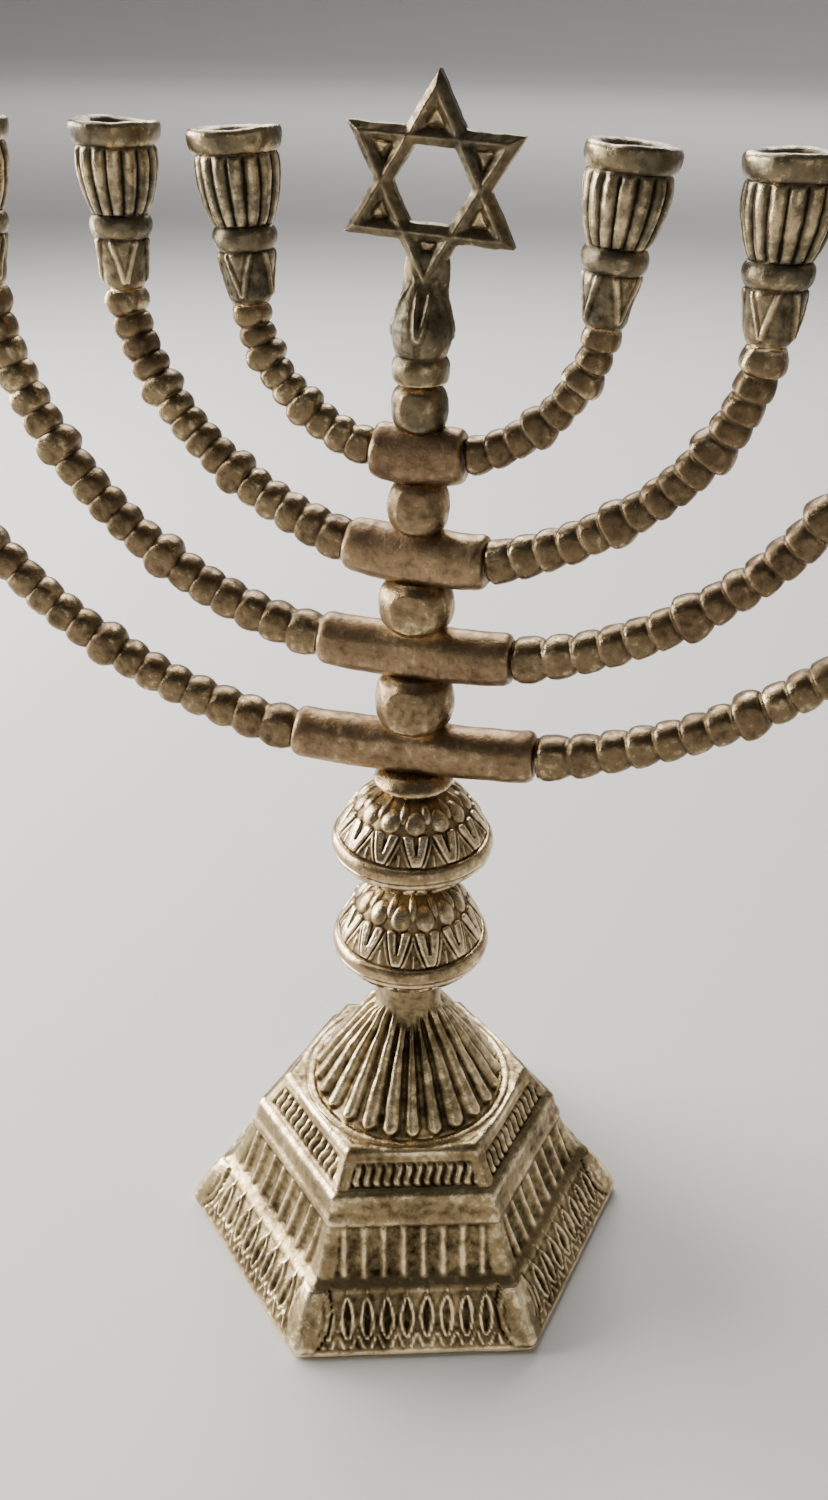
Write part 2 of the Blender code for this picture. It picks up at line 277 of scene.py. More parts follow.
def find_hollows(piece, reach, scale, patina):
    """Stores how deep each point lies: 0 on a rubbed edge, 0.5 on a plain stretch, 1 in a crevice."""
    mesh = piece.data
    points = points_of(piece)
    count = len(points)
    edges = np.empty(len(mesh.edges) * 2, dtype=np.int64)
    mesh.edges.foreach_get("vertices", edges)
    a, b = edges.reshape(-1, 2).T
    near = np.maximum(np.bincount(a, minlength=count) + np.bincount(b, minlength=count), 1)
    soft = points.copy()
    for _ in range(reach):
        mean = np.empty_like(soft)
        for k in range(3):
            mean[:, k] = (np.bincount(a, soft[b, k], count) + np.bincount(b, soft[a, k], count)) / near
        soft = 0.5 * (soft + mean)
    normals = np.empty(count * 3)
    mesh.vertex_normals.foreach_get("vector", normals)
    depth = ((soft - points) * normals.reshape(-1, 3)).sum(axis=1) / scale
    if "cast" in mesh.attributes:
        depth += patina * (0.5 - values_of(piece, "cast"))
    store_values(piece, "hollow", np.clip(0.5 + 0.5 * depth, 0.0, 1.0))


def turn_points(points, degrees, axis="Z", centre=(0, 0, 0)):
    """The points turned about an axis through a centre in mm."""
    turn = np.array(Matrix.Rotation(math.radians(degrees), 3, axis))
    return (points - centre) @ turn.T + centre


def clamp_at(piece, index):
    """Turns a piece of an arm pair round the rod, to where the clamped stack holds it."""
    move_points(piece, turn_points(points_of(piece), PAIR_TURN[index]))


def seat(piece, body, node_name, finish, reach=8, scale=0.22, patina=0.9):
    """Gives a finished piece its surface, its place in the frame and its material."""
    find_hollows(piece, reach, scale, patina)
    smooth(piece)
    piece.data.materials.clear()
    piece.data.materials.append(finish)
    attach(piece, body)
    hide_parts(node_name)


# ------------------------------------------------------------------ aged brass
def node(tree, kind, **values):
    """A shader node with its settings and inputs given by name."""
    made = tree.nodes.new("ShaderNode" + kind)
    for key, value in values.items():
        if hasattr(made, key):
            setattr(made, key, value)
        else:
            made.inputs[key].default_value = value
    return made


def ramp(tree, source, stops):
    """A colour ramp over a value; each stop is a place and a colour."""
    made = tree.nodes.new("ShaderNodeValToRGB")
    band = made.color_ramp
    while len(band.elements) < len(stops):
        band.elements.new(0.5)
    for element, (place, colour) in zip(band.elements, stops):
        element.position = place
        element.color = (*colour, 1.0)
    tree.links.new(source, made.inputs["Fac"])
    return made.outputs["Color"]


def grey(value):
    return (value, value, value)


def aged_brass(name, bright, body, dark, tint, roughness, tarnish=0.0, grain=1.0):
    """Cast brass: rubbed edges, a blotchy body tone, dark patina in the hollows and a fine cast grain."""
    mat = bpy.data.materials.new(name)
    mat.use_nodes = True
    tree = mat.node_tree
    shader = tree.nodes["Principled BSDF"]
    shader.inputs["Metallic"].default_value = 1.0
    place = tree.nodes.new("ShaderNodeTexCoord").outputs["Object"]

    def noise(scale, detail, rough=0.6):
        made = node(tree, "TexNoise", Scale=scale, Detail=detail, Roughness=rough)
        tree.links.new(place, made.inputs["Vector"])
        return made.outputs["Fac"]

    def blend(kind, a, b):
        made = node(tree, "Math", operation=kind)
        tree.links.new(a, made.inputs[0])
        if isinstance(b, float):
            made.inputs[1].default_value = b
        else:
            tree.links.new(b, made.inputs[1])
        return made.outputs[0]

    def mix(share, a, b, kind="MIX"):
        made = tree.nodes.new("ShaderNodeMix")
        made.data_type = "RGBA"
        made.blend_type = kind
        factor, first, second = made.inputs[0], made.inputs[6], made.inputs[7]
        for socket, value in ((factor, share), (first, a), (second, b)):
            if hasattr(value, "links"):
                tree.links.new(value, socket)
            elif isinstance(value, tuple):
                socket.default_value = (*value, 1.0)
            else:
                socket.default_value = value
        return made.outputs[2]

    hollow = node(tree, "Attribute", attribute_name="hollow").outputs["Fac"]
    blotch = noise(70.0, 4.0)
    mottle = noise(420.0, 5.0, 0.65)
    pits = noise(1900.0, 3.0, 0.7)

    stain = blend("ADD", hollow, blend("MULTIPLY", blend("SUBTRACT", blotch, 0.5), 0.55))
    stain = blend("ADD", stain, blend("MULTIPLY", blend("SUBTRACT", mottle, 0.5), 0.75))
    stain = blend("ADD", stain, tarnish)
    crust = ramp(tree, stain, [(0.47, grey(0.0)), (0.60, grey(0.45)), (0.80, grey(1.0))])
    rubbed = ramp(tree, stain, [(0.18, grey(1.0)), (0.42, grey(0.0))])

    tone = mix(ramp(tree, blotch, [(0.40, grey(0.0)), (0.62, grey(1.0))]), body, tint)
    tone = mix(rubbed, tone, bright)
    tone = mix(crust, tone, dark)
    tree.links.new(tone, shader.inputs["Base Color"])

    rough = ramp(tree, crust, [(0.0, grey(roughness)), (1.0, grey(0.78))])
    rough = mix(rubbed, rough, grey(roughness * 0.75))
    rough = mix(0.12, rough, mottle, "OVERLAY")
    tree.links.new(rough, shader.inputs["Roughness"])

    fine = node(tree, "Bump", Strength=0.35 * grain, Distance=0.00018)
    tree.links.new(pits, fine.inputs["Height"])
    coarse = node(tree, "Bump", Strength=0.5 * grain, Distance=0.00035)
    tree.links.new(mottle, coarse.inputs["Height"])
    tree.links.new(fine.outputs["Normal"], coarse.inputs["Normal"])
    tree.links.new(coarse.outputs["Normal"], shader.inputs["Normal"])
    return mat


golden_brass = aged_brass(
    "golden_brass", bright=(0.97, 0.79, 0.49), body=(0.34, 0.250, 0.124),
    dark=(0.050, 0.035, 0.017), tint=(0.25, 0.185, 0.094), roughness=0.30)
knop_brass = aged_brass(
    "knop_brass", bright=(0.98, 0.79, 0.51), body=(0.44, 0.315, 0.160),
    dark=(0.048, 0.032, 0.017), tint=(0.32, 0.228, 0.122), roughness=0.24)
coppery_brass = aged_brass(
    "coppery_brass", bright=(0.66, 0.50, 0.29), body=(0.27, 0.184, 0.098),
    dark=(0.062, 0.041, 0.022), tint=(0.245, 0.158, 0.088), roughness=0.35, tarnish=0.02, grain=1.4)
ball_brass = aged_brass(
    "ball_brass", bright=(0.86, 0.68, 0.42), body=(0.30, 0.210, 0.108),
    dark=(0.055, 0.038, 0.020), tint=(0.25, 0.170, 0.092), roughness=0.28, tarnish=0.02, grain=1.2)
arm_brass = aged_brass(
    "arm_brass", bright=(0.76, 0.60, 0.36), body=(0.205, 0.146, 0.078),
    dark=(0.038, 0.027, 0.016), tint=(0.175, 0.119, 0.064), roughness=0.28, tarnish=0.02)
dark_brass = aged_brass(
    "dark_brass", bright=(0.66, 0.51, 0.30), body=(0.200, 0.150, 0.083),
    dark=(0.030, 0.024, 0.015), tint=(0.145, 0.122, 0.080), roughness=0.29, tarnish=0.03)
dull_steel = aged_brass(
    "dull_steel", bright=(0.65, 0.64, 0.62), body=(0.40, 0.39, 0.37),
    dark=(0.06, 0.05, 0.045), tint=(0.34, 0.32, 0.30), roughness=0.42)


# ------------------------------------------------------------------ patterns
def ridge(distance, width):
    """1 on a line, falling smoothly to 0 at its width."""
    return np.clip(1.0 - np.abs(distance) / width, 0.0, 1.0) ** 0.8


def inside(distance, edge):
    """1 inside an outline, 0 outside it, over a soft edge."""
    return np.clip(distance / edge, 0.0, 1.0)


def wrap(angle, count):
    """Place across one of count equal sectors, from -0.5 to 0.5."""
    t = angle / math.tau * count
    return t - np.round(t)


# ------------------------------------------------------------------ foot
FOOT_TURN = 17.5  # degrees
FOOT_BORE = 3.4
SKIRT = (1.8, 13.6)  # each band's lowest level and its height, mm
LOWER_BAND = (17.4, 13.6)
UPPER_BAND = (40.6, 5.6)
RIDGE_PITCH = 5.3
RIB_PITCH = 2.7


def on_face(x, y):
    """Distance along a face from its middle, and distance out of the axis square to the face."""
    turn = np.degrees(np.arctan2(y, x)) - FOOT_TURN - 30.0
    mid = np.radians(np.round(turn / 60.0) * 60.0 + FOOT_TURN + 30.0)
    return -x * np.sin(mid) + y * np.cos(mid), x * np.cos(mid) + y * np.sin(mid)


def wavy_ribs(along, half, up):
    """A dozen wavy ribs in a shallow tray."""
    tray = inside(half - 2.2 - np.abs(along), 0.7) * inside(up + 0.06, 0.10) * inside(1.04 - up, 0.12)
    across = (along + 0.40 * np.sin(up * math.tau)) / RIB_PITCH - 0.5
    across = (across - np.round(across)) / 0.37
    rib = np.sqrt(np.clip(1.0 - across**2, 0.0, 1.0)) * inside(up, 0.12) * inside(1.0 - up, 0.12)
    return 0.5 - 0.5 * tray + 0.66 * tray * rib


def upright_ridges(along, half, up):
    """Upright ridges with hollow flutes between them, plain at the corners."""
    tray = inside(half - 3.6 + 1.5 * np.clip(up, 0, 1) - np.abs(along), 1.2)
    tray = tray * inside(up, 0.10) * inside(1.0 - up, 0.05)
    across = along / RIDGE_PITCH - 0.5
    across = np.abs(across - np.round(across))
    fins = np.maximum(np.exp(-(across / 0.20) ** 2), 0.62 * (1.0 - np.sin(across * math.pi)) ** 0.8)
    return 0.5 - 0.5 * tray + 0.78 * tray * fins


def ovals_and_leaves(along, half, up):
    """Pointed ovals with thin rims, small forks between them, and a smooth leaf on each corner."""
    across = along / RIDGE_PITCH - 0.63
    across = across - np.round(across) + 0.02 * np.sin(up * 9.0 + along)
    between = along / RIDGE_PITCH - 0.13
    between = between - np.round(between)
    oval = 0.30 * (1.0 - ((up - 0.57) / 0.38) ** 2)
    tall = (up > 0.19) & (up < 0.95)
    rim = ridge(np.abs(across) - np.maximum(oval, 0.0), 0.14) * tall
    pit = tall * inside(oval - np.abs(across), 0.08)
    post = 0.75 * ridge(across, 0.13) * inside(up - 0.84, 0.06)
    fork = ridge(np.abs(between) - (0.34 - up) * 1.1, 0.17) * inside(0.36 - up, 0.05) * inside(up - 0.02, 0.04)
    stem = 0.9 * ridge(between, 0.10) * inside(up - 0.30, 0.04) * inside(0.52 - up, 0.15)
    brim = 0.45 * inside(up - 0.93, 0.05)
    field = np.maximum.reduce([0.34 - 0.24 * pit, 0.92 * rim, post, 0.85 * fork, 0.75 * stem, brim])
    reach = 3.0 + 4.0 * np.sin(math.pi * (0.85 - 0.75 * np.clip(up, 0, 1)))
    edge = half - np.abs(along) - reach
    leaf = 0.42 + 0.50 * np.sqrt(np.clip(-edge / reach, 0.0, 1.0))
    leaf -= 0.35 * ridge(edge + 1.9, 0.5) * inside(up - 0.2, 0.1) * inside(0.85 - up, 0.1)
    return np.where(edge < 0.0, leaf, field * inside(edge - 0.2, 0.5))


def foot_height(x, y, z):
    along, out = on_face(x, y)
    half = out * math.tan(math.radians(30.0))
    outside = (z > 0.4) & (out > 26.0)
    height = np.full_like(x, 0.5)
    for (low, tall), first, last, pattern in ((UPPER_BAND, -0.1, 1.1, wavy_ribs),
                                              (LOWER_BAND, 0.0, 1.0, upright_ridges),
                                              (SKIRT, 0.0, 1.02, ovals_and_leaves)):
        up = (z - low) / tall
        height = np.where(outside & (up > first) & (up < last), pattern(along, half, up), height)
    return height


def make_foot():
    low, top = levels_of("hex_base")
    roof = [(FOOT_BORE, top), (14.0, top), (22.0, top)]
    rim = [(25.0, top), (31.0, top), (32.4, top + 0.25), (33.4, top + 0.1), (34.3, top - 0.6),
           (34.7, top - 1.5), (34.7, top - 1.5)]
    upper = [(39.8, 40.2), (40.2, 39.7), (41.3, 39.5), (42.1, 38.6)]
    roll = [(42.5, 36.6), (43.1, 34.4), (44.3, 32.6), (44.5, 31.6), (44.1, 31.0), (44.1, 31.0)]
    lower = [(47.2, 24.4), (50.4, 18.4), (51.2, 17.3), (53.4, 16.0)]
    skirt = [(54.6, 14.8), (57.4, 11.0), (61.7, 3.9), (62.8, 2.3), (63.3, 1.2), (63.2, low), (63.2, low)]
    inner = [(59.4, low), (58.8, 1.8), (49.0, 15.0), (47.0, 17.0), (40.0, 30.2), (35.4, 37.4), (30.4, 40.6),
             (FOOT_BORE, 40.6), (FOOT_BORE, top)]
    outline = roof + flowing(rim + upper + roll + lower + skirt, 0.55) + inner
    foot = stacked("hex_foot", 6, 115, outline, FOOT_TURN)

    # a round seat for the cone, sunk into the roof inside a beaded edge
    seat_z = top - 1.0
    p = points_of(foot)
    out = np.hypot(p[:, 0], p[:, 1])
    rise = np.clip((out - 26.2) / 0.5, 0.0, 1.0) + 0.30 * ridge(out - 27.9, 0.7) - 0.45 * ridge(out - 28.9, 0.6)
    p[:, 2] = np.where((p[:, 2] > seat_z - 0.2) & (out < 31.0), seat_z + rise, p[:, 2])
    move_points(foot, p)
    apply(foot, "SMOOTH", factor=0.5, iterations=4)
    relief(foot, foot_height, 1.6)
    apply(foot, "SMOOTH", factor=0.4, iterations=1)
    p = points_of(foot)
    p[:, 2] = np.maximum(p[:, 2], 0.0)
    move_points(foot, p)
    cast_unevenness(foot, 0.55, 11.0)
    seat(foot, FOOT, "hex_base", golden_brass, 8, 0.65, 0.28)


# ------------------------------------------------------------------ cone
CONE_FLUTES = 25


def make_cone():
    low, top = levels_of("fluted_cone")
    neck = [(BORE, top), (BORE, top), (6.4, top), (7.2, top - 0.8), (7.5, 81.0), (8.0, 76.5), (10.2, 72.4)]
    skirt = [(13.8, 67.6), (18.6, 60.4), (23.0, 53.6), (25.2, 50.4), (26.1, 49.0), (26.3, low), (26.3, low)]
    cone = turned("fluted_cone_piece", flowing(neck + skirt, 0.5) + [(BORE, low), (BORE, top)], 350)

    # the neck turns squarish above the flutes
    p = points_of(cone)
    around = np.arctan2(p[:, 1], p[:, 0]) - math.radians(FOOT_TURN + 12.0)
    square = np.clip((p[:, 2] - 64.0) / 10.0, 0.0, 1.0) * (np.hypot(p[:, 0], p[:, 1]) > 5.0)
    p[:, :2] *= (1.0 - 0.09 * square * np.cos(4.0 * around))[:, None]
    move_points(cone, p)

    def flutes(x, y, z):
        around = np.arctan2(y, x)
        across = wrap(around + 0.012 * np.sin(5.0 * around), CONE_FLUTES)
        across = np.clip(np.abs(across) / (0.36 + 0.04 * np.sin(around * 7.0)), 0.0, 1.0)
        end = 76.5 - 2.0 * np.cos(4.0 * (around - 0.3))
        zone = inside(z - low - 1.0, 0.4) * inside(end - z, 2.5) * (np.hypot(x, y) > 6.0)
        rib = np.sqrt(1.0 - across**2) * inside(z - low - 1.4 - 1.6 * across**2, 0.7)
        plain = np.where(z < low + 1.6, 0.1, 0.5)
        return np.where(zone > 0, (1.0 - zone) * 0.5 + zone * rib, plain)

    relief(cone, flutes, 1.7)
    apply(cone, "SMOOTH", factor=0.4, iterations=1)
    cast_unevenness(cone, 0.7, 8.0)
    seat(cone, FOOT, "fluted_cone", golden_brass, 8, 0.75, 0.35)


# ------------------------------------------------------------------ knops
KNOP_LEAVES = 13
KNOP_MIDDLE = {"lower_knop": 0.382, "upper_knop": 0.406}  # the rim's level as a share of the height


def lotus_dome(around, down):
    """Two broad petals that meet in a V, with an oval bud above them and a fork between the pairs."""
    across = np.abs(wrap(around, KNOP_LEAVES))
    between = np.abs(wrap(around + math.pi / KNOP_LEAVES, KNOP_LEAVES))
    fall = (down - 0.44) / 0.52
    outer = 0.465 - 0.33 * np.clip(fall, 0.0, 1.0)
    gap = 0.09 * np.clip(1.0 - fall / 0.58, 0.0, 1.0)
    crown = 0.10 * (1.0 - np.sqrt(np.clip(1.0 - ((across - (outer + gap) / 2) / 0.20) ** 2, 0.0, 1.0)))
    petal = inside(np.minimum(outer - across, np.where(fall < 0.62, across - gap, 1.0)), 0.05)
    petal = petal * inside(fall - crown, 0.05)
    petal = petal * inside(1.0 - fall, 0.05) * (0.86 + 0.14 * ridge(outer - across - 0.05, 0.06))
    halo = 0.55 * ridge(across - outer - 0.075, 0.045) * inside(fall - 0.05, 0.05) * inside(1.0 - fall, 0.05)
    bud = np.sqrt(np.clip(1.0 - (across / 0.40) ** 2 - ((down - 0.28) / 0.175) ** 2, 0.0, 1.0))
    small_bud = np.sqrt(np.clip(1.0 - (between / 0.20) ** 2 - ((down - 0.15) / 0.15) ** 2, 0.0, 1.0))
    fork = 0.6 * ridge(between - 0.32 * np.clip((fall - 0.2) / 0.8, 0.0, 1.0), 0.06) * inside(fall - 0.2, 0.08)
    stroke = 0.55 * ridge(between, 0.05) * inside(fall - 0.55, 0.08)
    strokes = np.maximum(fork, stroke) * (fall < 1.0)
    return np.maximum.reduce([petal, halo, 0.95 * bud, 0.75 * small_bud, strokes, np.full_like(down, 0.14)])


def lotus_under(around, up):
    """Pointed leaves with a sunk vein, under the rim."""
    across = wrap(around, KNOP_LEAVES)
    leaf = inside(0.46 * np.clip(1.0 - np.abs(up - 0.45) / 0.5, 0, 1) ** 0.6 - np.abs(across), 0.08)
    return leaf * (1.0 - 0.7 * ridge(across, 0.07)) * (up > 0.04) * (up < 0.93)


def make_knop(name, node_name, turn):
    low, top = levels_of(node_name)
    radius = radius_of(node_name)
    middle = low + (top - low) * KNOP_MIDDLE[node_name]
    edge = middle + 3.0
    dome, under = top - edge, middle - 1.8 - low
    cap = [(BORE, top), (BORE, top), (6.6, top), (7.4, top - 0.4), (11.0, top - 0.17 * dome),
           (14.2, edge + 0.57 * dome), (16.6, edge + 0.32 * dome), (18.2, edge + 0.12 * dome), (18.7, edge),
           (18.7, edge)]
    rim = [(19.0, edge - 0.15), (19.5, edge - 0.3), (20.0, middle + 1.9), (radius, middle + 1.0),
           (radius, middle + 0.2), (19.5, middle - 0.5), (19.5, middle - 0.5), (19.9, middle - 0.9),
           (19.7, middle - 1.6), (19.0, middle - 2.0), (19.0, middle - 2.0)]
    bowl = [(14.4, low + 0.52 * under), (9.6, low + 0.20 * under), (7.4, low + 0.6), (7.1, low), (7.1, low)]
    knop = turned(name, flowing(cap + rim + bowl, 0.28) + [(BORE, low), (BORE, top)], 364)
    dome_low, dome_high = edge + 0.1, top - 0.4
    leaves_high = middle - 2.2

    def lotus(x, y, z):
        around = np.arctan2(y, x) + math.radians(turn)
        above = lotus_dome(around, (dome_high - z) / (dome_high - dome_low))
        below = lotus_under(around, (leaves_high - z) / (leaves_high - low))
        height = np.where(z > dome_low, above, np.where(z < leaves_high, below, 0.5))
        return np.where(np.hypot(x, y) > 6.5, height, 0.5)

    relief(knop, lotus, 0.95)
    apply(knop, "SMOOTH", factor=0.45, iterations=1)
    cast_unevenness(knop, 0.4, 7.0)
    seat(knop, FOOT, node_name, knop_brass, 8, 0.34, 0.5)


# ------------------------------------------------------------------ stem beads
def make_collar():
    low, top = levels_of("collar_bead")
    radius = radius_of("collar_bead")
    mid = (low + top) / 2
    knots = [(BORE, top), (BORE, top), (6.6, top), (7.8, top - 0.3), (radius, mid + 0.7),
             (radius + 0.7, mid - 0.5), (radius + 0.2, mid - 1.6), (8.4, low + 0.2), (6.8, low), (6.8, low)]
    collar = turned("collar", flowing(knots, 0.35) + [(BORE, low), (BORE, top)], 96)
    cast_unevenness(collar, 0.7, 7.0)
    seat(collar, TOP, "collar_bead", knop_brass, 6, 0.6)


def make_stem_ball(index):
    """A round bead with short necks, filed flat in front and behind."""
    node_name = "stem_ball_%d" % index
    low, top = levels_of(node_name)
    radius = radius_of(node_name)
    mid, half = (low + top) / 2, (top - low) / 2
    neck, shoulder = 0.66 * radius, 0.70 * radius
    arc = [(radius * (0.70 + 0.30 * math.cos(math.radians(a))), mid + half * 0.90 * math.sin(math.radians(a)))
           for a in (76, 52, 30, 10, -10, -30, -52, -76)]
    knots = [(BORE, top), (BORE, top), (neck, top), (shoulder, top - 0.4)] + arc
    knots += [(shoulder, low + 0.4), (neck, low), (neck, low)]
    ball = turned("stem_bead_%d" % index, flowing(knots, 0.4) + [(BORE, low), (BORE, top)], 96)
    p = points_of(ball)
    p[:, 1] = flattened(p[:, 1], 0.86 * radius, 0.18)
    move_points(ball, p)
    cast_unevenness(ball, 0.9, 7.0)
    seat(ball, TOP, node_name, dark_brass if index < 2 else ball_brass, 6, 0.6)


# ------------------------------------------------------------------ sleeves
SLEEVE_HALF = {1: 10.4, 2: 16.8, 3: 23.3, 4: 30.0}  # half lengths, mm


def make_sleeve(index):
    """A saddle-shaped crosspiece, fuller round the rod and drooping in its middle."""
    node_name = "cross_sleeve_%d" % index
    low, top = levels_of(node_name)
    half = SLEEVE_HALF[index]
    thick = (top - low) / 2 + 0.9
    end = [(half, thick - 1.5), (half - 0.2, thick - 0.9), (half - 0.8, thick - 0.35), (half - 2.2, thick)]
    other_end = [(-x, z) for x, z in reversed(end)]
    knots = [(half, AXIS), (half, AXIS)] + end + [(0.0, thick)] + other_end + [(-half, AXIS), (-half, AXIS)]
    sleeve = turned("sleeve_%d" % index, flowing(knots, 0.5), 72, axis=(1, 0, 0))
    p = points_of(sleeve)
    share = p[:, 0] / half
    middle = np.exp(-((p[:, 0] / 7.0) ** 2))
    below = np.clip(-p[:, 2] / 5.0, 0.0, 1.0)
    above = np.clip(p[:, 2] / 5.0, 0.0, 1.0)
    p[:, 2] += -0.3 * middle * below + 0.7 * middle * above + (1.3 * share**2 - 0.5) * (0.7 + 0.3 * below)
    p[:, 1] = flattened(p[:, 1], 5.5 + 0.3 * np.abs(share), 0.45)
    p[:, 0] -= 0.20 * p[:, 2] * np.sign(p[:, 0]) * np.clip(np.abs(share) - 0.6, 0.0, 1.0)
    p[:, 2] += (low + top) / 2
    move_points(sleeve, p)
    apply(sleeve, "SMOOTH", factor=0.5, iterations=2)
    cast_unevenness(sleeve, 0.8, 9.0)
    clamp_at(sleeve, index)
    seat(sleeve, TOP, node_name, coppery_brass, 8, 0.6)


# ------------------------------------------------------------------ arms
CUP_X = {1: 37.6, 2: 70.3, 3: 100.5, 4: 130.0}
# reach of the curve's pull at the sleeve, its rise there in degrees, and its reach under the cup
ARM_HANDLES = {1: (14.0, 12.0, 13.0), 2: (40.0, 17.0, 16.0), 3: (51.2, 10.0, 24.0), 4: (58.0, 9.5, 48.0)}
# small and big beads, from the sleeve to the cup
ARM_BEADS = {1: "sssBssBsB", 2: "sssssBssssBsssB", 3: "ssssssBsssssBsssssB", 4: "sssssssBsssssssBsssssssB"}
BEAD_R = {1: 3.9, 2: 4.4, 3: 4.6, 4: 4.7}
BIG_BEAD = 1.2  # shares of a small bead's radius
LAST_BEAD = 1.1
VALLEY = 0.84
NEAR_SLEEVE = {1: 0.12, 2: 0.18, 3: 0.20, 4: 0.20}  # how much the first beads swell
# place along a bead and share of its swell, and how far a leaning bead shifts each
BEAD_SWELL = ((0.10, 0.36), (0.27, 0.84), (0.49, 1.0), (0.73, 0.82), (0.90, 0.34))
BEAD_LEAN = (0.0, 1.0, 1.6, 1.0, 0.0)
RIGHT_LEAN = 0.09


def arm_route(index):
    """The curve from the right sleeve end to the underside of the right cup."""
    low, high = levels_of("cross_sleeve_%d" % index)
    first, rise, last = ARM_HANDLES[index]
    along = Vector((math.cos(math.radians(rise)), 0, math.sin(math.radians(rise))))
    start = Vector((SLEEVE_HALF[index] + 0.3, 0, (low + high) / 2 + 0.5))
    end = Vector((CUP_X[index], 0, levels_of("cup_right_%d" % index)[0] - 0.1))
    put_down()
    bpy.ops.curve.primitive_bezier_curve_add()
    route = bpy.context.object
    spline = route.data.splines[0]
    route.data.dimensions = "3D"
    route.data.twist_mode = "Z_UP"
    route.data.resolution_u = 64
    p, q = spline.bezier_points
    for point in (p, q):
        point.handle_left_type = point.handle_right_type = "FREE"
    p.co = start * MM
    p.handle_right = (start + along * first) * MM
    p.handle_left = (start - along) * MM
    q.co = end * MM
    q.handle_left = (end - Vector((0, 0, last))) * MM
    q.handle_right = (end + Vector((0, 0, 1))) * MM
    return route, spline.calc_length() / MM


def bead_outline(index, length, lean):
    """Knots of a straight rod of beads along X; lean moves each crest towards the sleeve."""
    beads = ARM_BEADS[index]
    weights = [(1.25 if bead == "B" else 1.0) * (1.0 + 0.35 * math.exp(-k / 2.5))
               for k, bead in enumerate(beads)]
    unit = length / sum(weights)
    start = BEAD_R[index] * (1.0 + NEAR_SLEEVE[index]) * VALLEY
    knots = [(0.0, AXIS), (0.0, AXIS), (0.0, start - 0.4), (0.1, start)]
    x = 0.0
    for k, (bead, weight) in enumerate(zip(beads, weights)):
        wide = weight * unit
        swell = BEAD_R[index] * (1.0 + NEAR_SLEEVE[index] * math.exp(-k / 2.5))
        crest = swell * (1.0 if bead == "s" else LAST_BEAD if k == len(beads) - 1 else BIG_BEAD)
        valley = swell * (VALLEY - 0.03)
        for (place, share), shift in zip(BEAD_SWELL, BEAD_LEAN):
            knots.append((x + (place - shift * lean) * wide, valley + share * (crest - valley)))
        x += wide
        knots += [(x, valley - 0.1), (x, valley - 0.1)]
    return knots[:-1] + [(length, AXIS), (length, AXIS)]


def make_arms(index):
    for side in SIDES:
        route, length = arm_route(index)
        outline = flowing(bead_outline(index, length, RIGHT_LEAN if side == "right" else 0.0), 0.42)
        arm = turned("beaded_arm_%s_%d" % (side, index), outline, 40, axis=(1, 0, 0))
        p = points_of(arm)
        around = np.arctan2(p[:, 2], p[:, 1])
        p[:, 1:] *= (1.0 - 0.03 * np.cos(4.0 * around) + 0.012 * np.sin(p[:, 0] * 0.9 + index))[:, None]
        limit = 0.86 * BEAD_R[index] * (1.0 + 0.10 * np.exp(-p[:, 0] / 16.0))
        p[:, 1] = flattened(p[:, 1], limit, 0.45)
        if side == "right":
            ends = np.clip(p[:, 0] / 6.0, 0.0, 1.0) * np.clip((length - p[:, 0]) / 6.0, 0.0, 1.0)
            p[:, 0] += 0.10 * p[:, 1] * ends
        move_points(arm, p)
        apply(arm, "CURVE", object=route, deform_axis="POS_X")
        bpy.data.objects.remove(route, do_unlink=True)
        if side == "left":
            p = points_of(arm)
            p[:, 0] *= -1.0
            move_points(arm, p)
        clean(arm)
        cast_unevenness(arm, 0.55, 5.0)
        clamp_at(arm, index)
        seat(arm, TOP, "arm_%s_%d" % (side, index), arm_brass, 6, 0.95)


# ------------------------------------------------------------------ candle cups
CUP_FLUTES = 15


def cup_pattern(x, y, z):
    """Flutes on the bell, plain lip and ring, and a leaf on each side of the neck."""
    around = np.arctan2(y, x)
    across = wrap(around, CUP_FLUTES)
    zone = inside(z - 14.9, 0.8) * inside(28.6 - z, 0.9)
    rib = 0.12 + 0.75 * np.sqrt(np.clip(1.0 - (across / 0.42) ** 2, 0.0, 1.0))
    bell = 0.5 - 0.5 * zone + zone * rib
    across = np.abs(wrap(around, 4))
    spread = 0.30 * np.clip((z - 0.8) / 9.2, 0.0, 1.0)
    leaf = np.maximum(ridge(across - spread, 0.11), 0.55 * inside(spread - across - 0.05, 0.08))
    leaf = leaf * inside(z - 0.8, 0.5) * inside(10.2 - z, 0.5)
    height = np.where(z > 12.0, bell, 0.25 + 0.70 * leaf)
    height = np.where((z > 28.6) | ((z > 10.3) & (z < 14.9)), 0.5, height)
    return np.where(np.hypot(x, y) > 5.0 - 1.2 * (z < 10.3), height, 0.5)


